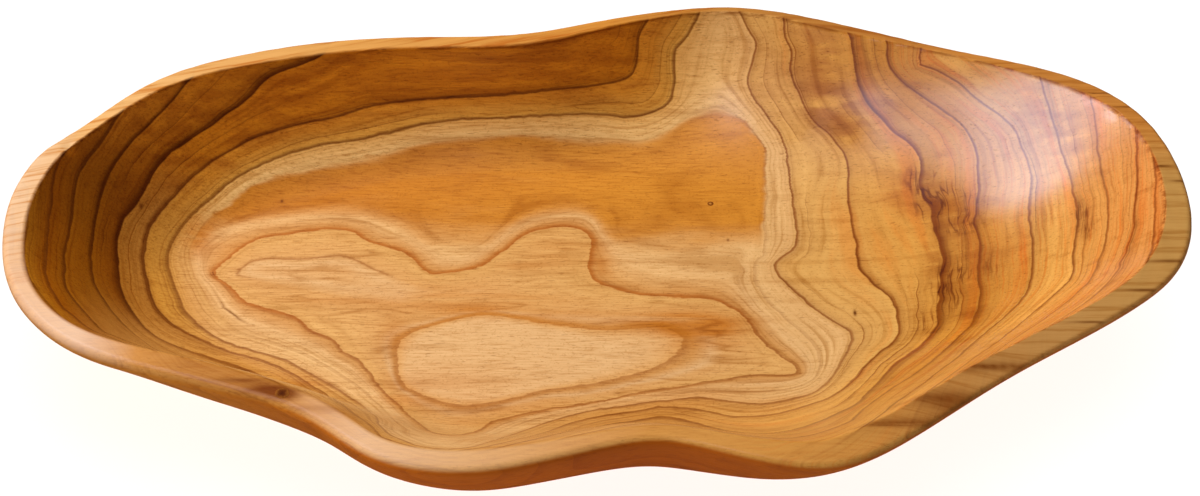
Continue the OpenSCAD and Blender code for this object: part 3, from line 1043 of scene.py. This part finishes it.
at_lip = attribute("lip")
off_lip = 1 - at_lip * LIP_FAINTER
off_left = most(on_right, on_front)
shown = off_lip * (1 - on_front * FRONT_WEAKER)
widths = (WIDTH_LEAST + place.noise(WIDTH_SCALE)) * (1 - at_back * BACK_NARROWER)
widths = widths * (1 + (1 - off_left) * LEFT_WIDER + attribute("burnt") * FLAME_WIDER)
fray = place.noise(FRAY_SCALE, detail=3).centred() * (1 - at_back * BACK_CLEANER) * FRAY_MM
streaky = drawn_out(**STREAKY).centred() * (1 - order.between(*STREAKY_LEVELS)) * STREAKY_MM
frayed = order + (fray + streaky) / pitch
year = frayed.floor()
past = (frayed - year) * pitch
ahead = (year + 1 - frayed) * pitch
line_tint, strength, core, fade, share = late_wood(year)
late = most(past.hill(core), past.fading(fade) * share) * strength * shown
next_tint, next_strength, *_ = late_wood(year + 1)
sharp = (1 - ahead.between(0, SHARP_MM)) * next_strength * shown

faint_order = frayed * FAINT_PER_YEAR + place.noise(WANDER_SCALE) * WANDER_LEVELS
faint_year = faint_order.floor()
faint_past = (faint_order - faint_year) * pitch / FAINT_PER_YEAR
chance = start.node("ShaderNodeTexWhiteNoise", {"noise_dimensions": "1D"}, {"W": faint_year})
showing = chance.between(*CHANCE) * flow(faint_year, SHOWING_SCALES).between(*SHOWING)
told_apart = pitch.between(*NARROW_MM) * (1 - pitch.between(*WIDE_MM))
beyond_heart = order.between(*HEART_LEVELS)
often = FAINT_EARLY + order.between(*OFTEN_LEVELS) * (1 - FAINT_EARLY)
faint = most(faint_past.hill(FAINT_CORE_MM), faint_past.fading(FAINT_FADE_MM) * FAINT_FADE)
faint = faint * showing * told_apart * beyond_heart * often * FAINT_STRENGTH * off_lip
in_lobe = (1 - place_x.between(*LOBE_X)) * place_y.between(*LOBE_Y)
lobe = ((frayed - LOBE_LEVEL) * pitch).hill(LOBE_CORE_MM) * in_lobe * LOBE_STRENGTH
figure = figure.tinted(tint(FAINT_TINT), most(faint, lobe)).tinted(line_tint, late).tinted(next_tint, sharp)
print("nodes with the lines:", len(wood.node_tree.nodes))

# %% [markdown]
# The fibres run along the slab, whatever the rings do. Noise that is drawn out along X gives broad streaks,
# fine fibres, the short dark dashes of open pores and, beside the island in the heart, a few ripples. A
# second kind of noise follows the rings, so that the wood between two lines is never one flat colour. On
# the right it turns some of that wood red, and along the back wall the gaps between the streaks turn
# golden. Where the wood is burnt, thin scribbled strokes make the flame, and one short split runs along a
# ring. Most layers are rows of a table: the step that shows the layer's noise, its share, and the factor
# that multiplies the colour below, so that dark wood gets dark fibres and pale wood gets pale ones.

# %% Fibres and pores
DARKER, LIGHTER, REDDER = (0.72, 0.60, 0.42, 1), (1.08, 1.12, 1.18, 1), (1.0, 0.80, 0.62, 1)
PORE, FLAME, GOLDEN = (0.42, 0.30, 0.20, 1), (0.50, 0.36, 0.22, 1), (1.2, 1.3, 1.3, 1)
FIBRES = {"share": 0.09, "scale": 1500, "detail": 3, "roughness": 0.6}
PORES = {"share": 0.14, "scale": 2000, "detail": 1}
SPECKLE_SCALE = 1300
RING_FLOW, RED_FLOW, GROOVES, SCRIBBLE = (30, 30, 8), (20, 20, 3), (45, 45, 26), (95, 50, 6)
GRAIN_LAYERS = {
    "streaks": ((0.5, 0.78), 0.65, DARKER), "speckle": ((0.56, 0.7), 0.5, DARKER),
    "ring_light": ((0.5, 0.72), 1.0, LIGHTER), "ring_dark": ((0.5, 0.72), 0.75, DARKER),
    "red": ((0.5, 0.68), 1.0, REDDER), "golden": ((0.42, 0.62), 1.0, GOLDEN),
    "grooves": ((0.5, 0.66), 0.95, REDDER), "fibres_dark": ((0.48, 0.72), 0.75, DARKER),
    "fibres_light": ((0.5, 0.72), 1.0, LIGHTER), "pores": ((0.64, 0.74), 0.5, PORE),
}
HONEY_SMOOTHER, RIGHT_SMOOTHER = 0.4, 0.6
RED_LEVELS, GOLDEN_LEVELS, GROOVE_LEVELS = (2.2, 3.2), (2.2, 3.0), (3.5, 5.5)
RIPPLES, RIPPLE_PATCHES = {"share": 0.16, "scale": 110}, {"share": 0.3, "scale": 60}
RIPPLE_WIDTH, RIPPLE_SHOWN, RIPPLE_LEVELS, RIPPLE_SHARE = 0.022, (0.34, 0.54), (-0.98, -0.85), 0.8
SCRIBBLE_WIDTH, SCRIBBLE_BURNT = 0.035, (0.1, 0.5)
SPLIT_PIXEL, SPLIT_MM = (232, 314), 0.45


def grain(colour, amount, factor):
    """A colour, multiplied by a factor as far as an amount says."""
    return colour.tinted(factor, amount, "MULTIPLY")


def grain_layers(colour, table, noises):
    """A colour with layers of grain over it, each from its row of a table, its noise and where it shows."""
    for name, (step, share, factor) in table.items():
        layer, where = noises[name]
        colour = grain(colour, layer.between(*step) * (where * share), factor)
    return colour


fibres, pores = drawn_out(**FIBRES), drawn_out(**PORES)
ring_flow = flow(order, RING_FLOW, detail=3)
along_slab = 1 - on_right * RIGHT_SMOOTHER
grained = grain_layers(figure, GRAIN_LAYERS, {
    "streaks": (streaks, 1 - honey * HONEY_SMOOTHER),
    "speckle": (place.noise(SPECKLE_SCALE), 1),
    "ring_light": (ring_flow, beyond_heart),
    "ring_dark": (1 - ring_flow, beyond_heart),
    "red": (flow(order, RED_FLOW, detail=4), on_right * order.between(*RED_LEVELS)),
    "golden": (1 - streaks, at_back * (1 - on_right) * order.between(*GOLDEN_LEVELS)),
    "grooves": (flow(order, GROOVES, detail=3), on_right * order.between(*GROOVE_LEVELS)),
    "fibres_dark": (fibres, along_slab),
    "fibres_light": (1 - fibres, along_slab),
    "pores": (pores, 1),
})
ripples = drawn_out(**RIPPLES).centred().hill(RIPPLE_WIDTH)
in_patches = drawn_out(**RIPPLE_PATCHES).between(*RIPPLE_SHOWN)
in_heart = order.between(*RIPPLE_LEVELS) * (1 - beyond_heart)
grained = grain(grained, ripples * in_patches * in_heart * RIPPLE_SHARE, DARKER)
scribble = flow(order, SCRIBBLE).centred().hill(SCRIBBLE_WIDTH)
grained = grain(grained, scribble * attribute("burnt").between(*SCRIBBLE_BURNT), FLAME)
split_level = float(read_field(on_wood(SPLIT_PIXEL)[None])[0][0])
grained = grain(grained, ((frayed - split_level) * pitch).hill(SPLIT_MM) * attribute("split"), PORE)
print("nodes with the fibres:", len(wood.node_tree.nodes))

# %% [markdown]
# ## Rim, lip and outside
#
# The rim was sawn straight through the slab and hardly sanded, so it shows the ends of the layers as
# stripes, with a few open cracks at the right-hand end and a ragged dark brink. The lip at the front is
# rounded over, and the figure runs on across it. The pale cream on the lip's crest and at the rim's left
# end is partly the wood's own colour and partly a painted highlight. The outside is darker and more even
# than the hollow, partly its own oiled wood and partly painted shade, with layers of its own along the
# wall. A few flecks are pits and cracks that the sanding left. Only the hollow is polished, which the coat
# of the shader gives: its weight falls away on the rim, the lip and the outside.

# %% Rim, lip and outside
# The pale cream at the left end of these tints is partly the rim's own wood and partly a painted highlight.
RIM_TINTS_AND_HIGHLIGHT = [
    (0.0, "E2BC94"), (0.05, "DCA868"), (0.25, "D0944C"), (0.5, "CA8434"), (0.72, "A66C30"), (0.88, "B68446"),
    (1.0, "C08E48"),
]
# The pale cream stops, at the lip's left end and on its front crest, are partly a painted highlight.
LIP_TINTS_AND_HIGHLIGHT = [
    (0.0, "F4D8C2"), (0.08, "EED0B6"), (0.13, "BA7834"), (0.17, "904E14"), (0.25, "9C5A1C"),
    (0.275, "D2A074"), (0.315, "E6C09C"), (0.40, "E0B88C"), (0.46, "D6A674"), (0.54, "C48A44"),
    (0.7, "C08C48"), (1.0, "BA8C46"),
]
# These tints are darker than the outside's wood: they hold painted shade for walls that face the floor.
OUTSIDE_TINTS_AND_SHADE = [
    (0.0, "CC8630"), (0.2, "C07016"), (0.33, "C06204"), (0.5, "AD5202"), (0.7, "B25A02"), (1.0, "B06414"),
]
LIP_SHARE, RIM_SHARE = 0.6, 0.95
RIGHT_END, RIM_ORANGE, ORANGE_Y, ORANGE_SHARE = (0.6, 0.85), "C87C30", (0.015, 0.050), 0.8
SAW_LONG, SAW_SLANT = 0.05, 0.3
STRIPES = {"scale": 420, "detail": 4, "roughness": 0.65}
CRACKS = {"share": 0.05, "scale": 260, "detail": 4, "roughness": 0.7}
CRACK, SCORCHED = (0.30, 0.20, 0.14, 1), (0.42, 0.26, 0.12, 1)
RIM_LAYERS = {
    "dark": ((0.46, 0.66), 0.8, DARKER), "red": ((0.52, 0.62), 1.0, REDDER),
    "light": ((0.5, 0.7), 1.0, LIGHTER), "cracks": ((0.64, 0.69), 1.0, CRACK),
}
BRINK_STRIPES = (0.4, 0.55)
OUTSIDE_EDGE = (0.4, 0.75)
OUTSIDE_LAYERS = {
    "streaks": ((0.45, 0.75), 0.4, DARKER), "ring_light": ((0.5, 0.72), 0.5, LIGHTER),
    "fibres": ((0.48, 0.72), 0.6, DARKER),
}
OUTER, OUTER_COUNT, OUTER_FADE, OUTER_LINES = {"share": 0.25, "scale": 24, "detail": 1}, 12, 0.22, 0.6
FLECKS = {
    "pit": ((855, 313), (0.6, 1.5)), "pit_deep": ((855, 313), (0.4, 1.0)), "speck": ((728, 240), (0.5, 0.7)),
    "dot": ((282, 201), (0.5, 0.8)), "stub": ((141, 206), (0.7, 1.2)), "crack_top": ((1160, 166), (4, 0.6)),
    "crack_side": ((1181, 181), (3.5, 0.6)), "crack_long": ((1172, 261), (8, 0.7)),
    "crack_low": ((1146, 290), (6, 0.7)), "crack_front": ((1093, 322), (7, 0.6)),
}
POLISH = {"rim": 0.9, "lip": 0.8, "brink": 0.9, "outside": 1.0, "dull": 0.95}
OPEN_PORES, PORE_DULLER = (0.6, 0.74), 0.4
ROUGH_LEAST, ROUGH_FIBRES = 0.4, 0.2
FIBRE_RELIEF, PORE_RELIEF, LATE_RELIEF = 0.5, 0.5, 0.2
WOOD_BUMP = {"Strength": 0.3, "Distance": 0.0003}
SPECULAR = 0.06
POLISHED = {"Coat IOR": 1.6, "Coat Roughness": 0.21, "Specular IOR Level": SPECULAR}

at_rim = attribute("rim")
end_to_end = place_x / (bowl_size[0] * MM) + 0.5
toward_right = end_to_end.between(*RIGHT_END)
rim_wood_and_highlight, lip_wood_and_highlight, outer_wood_and_shade = (end_to_end.ramp(tints(t)) for t in (RIM_TINTS_AND_HIGHLIGHT, LIP_TINTS_AND_HIGHLIGHT, OUTSIDE_TINTS_AND_SHADE))
slanted = place_y - place_x * (1 - toward_right) * SAW_SLANT
sawn = start.node("ShaderNodeCombineXYZ", None, {"X": place_x * SAW_LONG, "Y": slanted, "Z": place_z})
stripes = sawn.noise(**STRIPES)
rim_wood_and_highlight = rim_wood_and_highlight.tinted(tint(RIM_ORANGE), toward_right * place_y.between(*ORANGE_Y) * ORANGE_SHARE)
rim_wood_and_highlight = grain_layers(rim_wood_and_highlight, RIM_LAYERS, {
    "dark": (stripes, 1), "red": (stripes, 1 - toward_right), "light": (1 - stripes, 1),
    "cracks": (drawn_out(**CRACKS), toward_right),
})
edged = grained.tinted(lip_wood_and_highlight, at_lip * LIP_SHARE).tinted(rim_wood_and_highlight, at_rim * RIM_SHARE)
edged = grain(edged, attribute("scorched") * streaks.between(*STAIN_STREAKS), SCORCHED)
edged = grain(edged, attribute("brink") * stripes.between(*BRINK_STRIPES), FLAME)
outer_noises = {"streaks": (streaks, 1), "ring_light": (ring_flow, 1), "fibres": (fibres, 1)}
outer_wood_and_shade = grain_layers(outer_wood_and_shade, OUTSIDE_LAYERS, outer_noises)
layers = drawn_out(**OUTER) * OUTER_COUNT
outer_wood_and_shade = grain(outer_wood_and_shade, (layers - layers.floor()).fading(OUTER_FADE) * OUTER_LINES, DARKER)
edged = edged.tinted(outer_wood_and_shade, attribute("outside").between(*OUTSIDE_EDGE))
for pixel, (long, high) in FLECKS.values():
    fleck = tuple(on_wood(pixel) * MM)
    away = start.node("ShaderNodeVectorMath", {"operation": "SUBTRACT"}, {0: place, 1: fleck})
    scaled = away.stretched(1 / (long * MM), 1 / (high * MM), 1 / (high * MM))
    distance = start.node("ShaderNodeVectorMath", {"operation": "LENGTH"}, {0: scaled}, out="Value")
    edged = grain(edged, distance.hill(1), PORE)
edged.into(wood_shader, "Base Color")
open_pores = pores.between(*OPEN_PORES)
polish = 1 - sum(attribute(name) * share for name, share in POLISH.items())
(most(polish, 0) * (1 - open_pores * PORE_DULLER)).into(wood_shader, "Coat Weight")
(ROUGH_LEAST + fibres * ROUGH_FIBRES).into(wood_shader, "Roughness")
for name, value in POLISHED.items():
    wood_shader.inputs[name].default_value = value
relief = fibres * along_slab * FIBRE_RELIEF - open_pores * PORE_RELIEF + late * LATE_RELIEF + stripes * at_rim
start.node("ShaderNodeBump", None, WOOD_BUMP | {"Height": relief}).into(wood_shader, "Normal")
bowl_mesh.materials.append(wood)
wood_lit.objects.link(bowl)
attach(bowl, "root")
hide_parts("bowl")
print("nodes of the wood:", len(wood.node_tree.nodes))

# %% [markdown]
# ## Knots
#
# Two dead branches ended in this wood. Such a knot is a small plug of harder, darker wood with rings of its
# own, held by the wood around it. A flat disc would look like a sticker, so each knot is a closed plug as
# deep as its seat: its top follows the carved surface, stands a hair proud of it and has a crumbled middle.

# %% Knots
KNOT_RINGS, KNOT_SIDES = 10, 48
KNOT_PROUD_MM, KNOT_CROWN_MM, KNOT_PIT_MM = 0.02, 0.03, 0.05
KNOT_PIT_SHARE = 0.3
KNOT_RAGGED, KNOT_RAGGED_SIZE = 0.05, 0.5
PIN_TINTS = [(0.0, "C88C42"), (0.3, "B87A30"), (0.6, "8A4A12"), (0.85, "723608"), (1.0, "94561A")]
LIP_KNOT_TINTS = [(0.0, "4A1E04"), (0.5, "5E2A06"), (1.0, "8A5018")]
KNOT_UNEVEN, KNOT_UNEVEN_SCALE = 0.8, 900
SPECK_SCALE, SPECK_STEP, SPECK_SHARE = 4000, (0.5, 0.7), 0.7
KNOT_ROUGH_LEAST, KNOT_ROUGH_SPECKS = 0.6, 0.2
KNOT_BUMP = {"Strength": 0.4, "Distance": 0.0002}


def knot_wood(name, stops):
    """Dark wood with close rings about the knot's own middle."""
    material, shader = principled(name)
    begin = Wire(material.node_tree)
    reach = begin.node("ShaderNodeAttribute", {"attribute_name": "reach"}, out="Fac")
    where = begin.node("ShaderNodeTexCoord", out="Object")
    uneven = reach + where.noise(KNOT_UNEVEN_SCALE, detail=3).centred() * KNOT_UNEVEN
    specks = where.noise(SPECK_SCALE)
    rings = grain(uneven.ramp(tints(stops)), specks.between(*SPECK_STEP) * SPECK_SHARE, PORE)
    rings.into(shader, "Base Color")
    (KNOT_ROUGH_LEAST + specks * KNOT_ROUGH_SPECKS).into(shader, "Roughness")
    shader.inputs["Specular IOR Level"].default_value = SPECULAR
    begin.node("ShaderNodeBump", None, KNOT_BUMP | {"Height": specks - uneven}).into(shader, "Normal")
    return material


def knot_plug(name, node, material):
    """A plug that stands for a knot's solid, with its top on the carved surface."""
    low, high = (np.array(corner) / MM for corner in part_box(node))
    middle, radius = (low + high) / 2, (high - low)[0] / 2
    turns = np.arange(KNOT_SIDES) / KNOT_SIDES * 2 * math.pi
    circle = np.column_stack([np.cos(turns), np.sin(turns), 0 * turns])
    ragged = 1 - KNOT_RAGGED * (1 + swell(circle, KNOT_RAGGED_SIZE)) / 2
    shares = np.arange(1, KNOT_RINGS + 1) / KNOT_RINGS
    places, reach = [], []
    for share in np.append(0, shares):
        count = KNOT_SIDES if share else 1
        for turn, rag in zip(turns[:count], ragged[:count]):
            x = middle[0] + radius * share * rag * math.cos(turn)
            y = middle[1] + radius * share * rag * math.sin(turn)
            down = carved.ray_cast(Vector((x, y, 2 * bowl_size[2])) * MM, Vector((0, 0, -1)))[0]
            crown = KNOT_CROWN_MM * (1 - share**2) - KNOT_PIT_MM * math.exp(-(share / KNOT_PIT_SHARE) ** 2)
            places.append((x, y, down.z / MM + KNOT_PROUD_MM + crown))
            reach.append(share)
    rim_ring = places[-KNOT_SIDES:]
    places += [(x, y, low[2]) for x, y, z in rim_ring] + [(middle[0], middle[1], low[2])]
    reach += [1] * (KNOT_SIDES + 1)
    first = [1 + KNOT_SIDES * k for k in range(KNOT_RINGS + 1)]
    around = [(k, (k + 1) % KNOT_SIDES) for k in range(KNOT_SIDES)]
    sides = [(0, 1 + a, 1 + b) for a, b in around]
    sides += [(f + a, f + KNOT_SIDES + a, f + KNOT_SIDES + b, f + b) for f in first[:-1] for a, b in around]
    sides += [(len(places) - 1, first[-1] + b, first[-1] + a) for a, b in around]
    mesh = bpy.data.meshes.new(name)
    mesh.from_pydata([Vector(p) * MM for p in places], [], sides)
    mesh.polygons.foreach_set("use_smooth", [True] * len(sides))
    mesh.attributes.new("reach", "FLOAT", "POINT").data.foreach_set("value", reach)
    mesh.materials.append(material)
    plug = link(name, mesh)
    wood_lit.objects.link(plug)
    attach(plug, "root")
    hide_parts(node)
    print(name, "of", len(places), "points,", round(2 * radius, 1), "mm across")


knot_plug("pin_knot", "floor_knot", knot_wood("pin_knot_wood", PIN_TINTS))
knot_plug("lip_knot", "rim_knot", knot_wood("lip_knot_wood", LIP_KNOT_TINTS))
